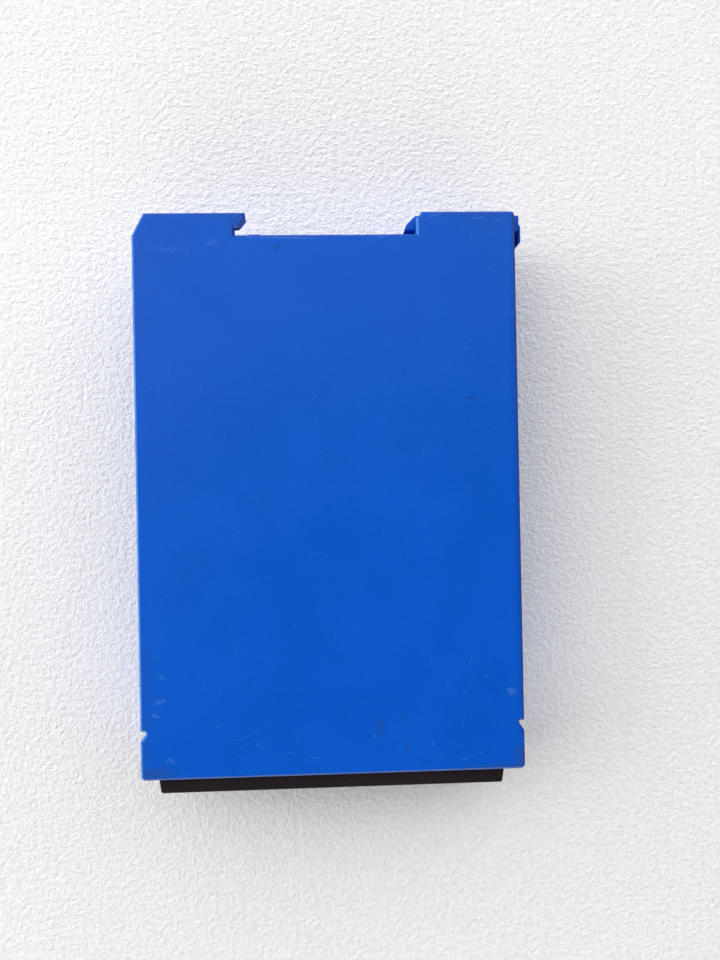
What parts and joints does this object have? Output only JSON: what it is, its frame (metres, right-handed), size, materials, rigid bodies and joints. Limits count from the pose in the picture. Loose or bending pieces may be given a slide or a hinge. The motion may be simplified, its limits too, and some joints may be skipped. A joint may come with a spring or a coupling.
{
  "type": "battery pack",
  "caption": "Slim rail-mount battery pack: flat blue housing with rail hook and sprung foot, black front panel, plug-in terminals, fuse, switch and test button.",
  "frame": {"origin": "middle of the outer flat face of the case, on which the module lies", "axes": "+Z across the module's width, from the case face to the cover; +Y from the front panel to the mounting rail; +X towards the release end of the foot"},
  "size_m": [0.0767, 0.1134, 0.0225],
  "materials": {
    "blue_plastic": "fine matte moulded plastic",
    "black_plastic": "fine matte moulded plastic",
    "moulded_black": "moulded",
    "green_plastic": "satin moulded plastic",
    "grey_plastic": "satin moulded plastic",
    "white_plastic": "satin moulded plastic",
    "orange_plastic": "clear tinted plastic",
    "spring_steel": "drawn wire and plated screws",
    "nickel": "nickel plated strip",
    "aluminium_can": "satin can",
    "cell_wrap": "shrink sleeve",
    "insulating_paper": "plain board",
    "board_laminate": "lacquered laminate",
    "clear_plastic": "polished clear plastic",
    "red_insulation": "wire insulation",
    "yellow_insulation": "wire insulation",
    "green_lamp": "tinted lens",
    "amber_lamp": "tinted lens"
  },
  "bodies": {
    "case": {"case_body": "blue_plastic", "side_cover": "blue_plastic", "front_panel": "black_plastic", "marking_strip": "white_plastic", "cell_1": "cell_wrap", "cell_2": "cell_wrap", "cell_3": "cell_wrap", "cell_4": "cell_wrap", "cell_frame_left": "moulded_black", "cell_frame_right": "moulded_black", "tab_plus": "nickel", "tab_minus": "nickel", "tab_link_1": "nickel", "tab_link_2": "nickel", "tab_link_3": "nickel", "insulator_left": "insulating_paper", "insulator_right": "insulating_paper", "positive_lead": "red_insulation", "negative_lead": "moulded_black", "balance_lead_1": "yellow_insulation", "balance_lead_2": "yellow_insulation", "main_board": "board_laminate", "plug_header": "green_plastic", "header_pin_1": "nickel", "header_pin_2": "nickel", "header_pin_3": "nickel", "header_pin_4": "nickel", "button_switch": "moulded_black", "light_pipe_1": "clear_plastic", "light_pipe_2": "clear_plastic", "led_1": "green_lamp", "led_2": "amber_lamp", "fuse_socket": "moulded_black", "switch_body": "moulded_black", "inductor": "moulded_black", "capacitor_1": "aluminium_can", "capacitor_2": "aluminium_can", "controller_chip": "moulded_black", "transistor_1": "moulded_black", "transistor_2": "moulded_black", "balance_connector": "white_plastic", "thermistor": "moulded_black", "foot_spring": "spring_steel"},
    "foot": {"din_foot": "blue_plastic"},
    "plug": {"terminal_plug": "green_plastic", "wire_clamp_1": "nickel", "wire_clamp_2": "nickel", "wire_clamp_3": "nickel", "wire_clamp_4": "nickel"},
    "button": {"test_button": "grey_plastic"},
    "fuse": {"fuse_body": "orange_plastic", "fuse_element": "nickel"},
    "switch": {"switch_slider": "white_plastic"},
    "screw_1": {"terminal_screw_1": "spring_steel"},
    "screw_2": {"terminal_screw_2": "spring_steel"},
    "screw_3": {"terminal_screw_3": "spring_steel"},
    "screw_4": {"terminal_screw_4": "spring_steel"}
  },
  "joints": [
    {"name": "foot_slide", "type": "slide", "parent": "case", "child": "foot", "axis": [1, 0, 0], "range_m": [0, 0.0035], "stiffness_N_per_m": 400, "springref_m": -0.005, "deforming": ["foot_spring"]},
    {"name": "plug_slide", "type": "slide", "parent": "case", "child": "plug", "axis": [0, -1, 0], "range_m": [0, 0.012]},
    {"name": "button_press", "type": "slide", "parent": "case", "child": "button", "axis": [0, 1, 0], "range_m": [0, 0.0005], "stiffness_N_per_m": 600, "springref_m": -0.001},
    {"name": "fuse_pull", "type": "slide", "parent": "case", "child": "fuse", "axis": [0, -1, 0], "range_m": [0, 0.014]},
    {"name": "switch_slide", "type": "slide", "parent": "case", "child": "switch", "axis": [1, 0, 0], "range_m": [0, 0.0038]},
    {"name": "screw_turn_1", "type": "hinge", "parent": "plug", "child": "screw_1", "pos_m": [-0.02862, -0.0562, 0.0148], "axis": [0, -1, 0], "continuous": true},
    {"name": "screw_turn_2", "type": "hinge", "parent": "plug", "child": "screw_2", "pos_m": [-0.02354, -0.0562, 0.0148], "axis": [0, -1, 0], "continuous": true},
    {"name": "screw_turn_3", "type": "hinge", "parent": "plug", "child": "screw_3", "pos_m": [-0.01846, -0.0562, 0.0148], "axis": [0, -1, 0], "continuous": true},
    {"name": "screw_turn_4", "type": "hinge", "parent": "plug", "child": "screw_4", "pos_m": [-0.01338, -0.0562, 0.0148], "axis": [0, -1, 0], "continuous": true}
  ]
}
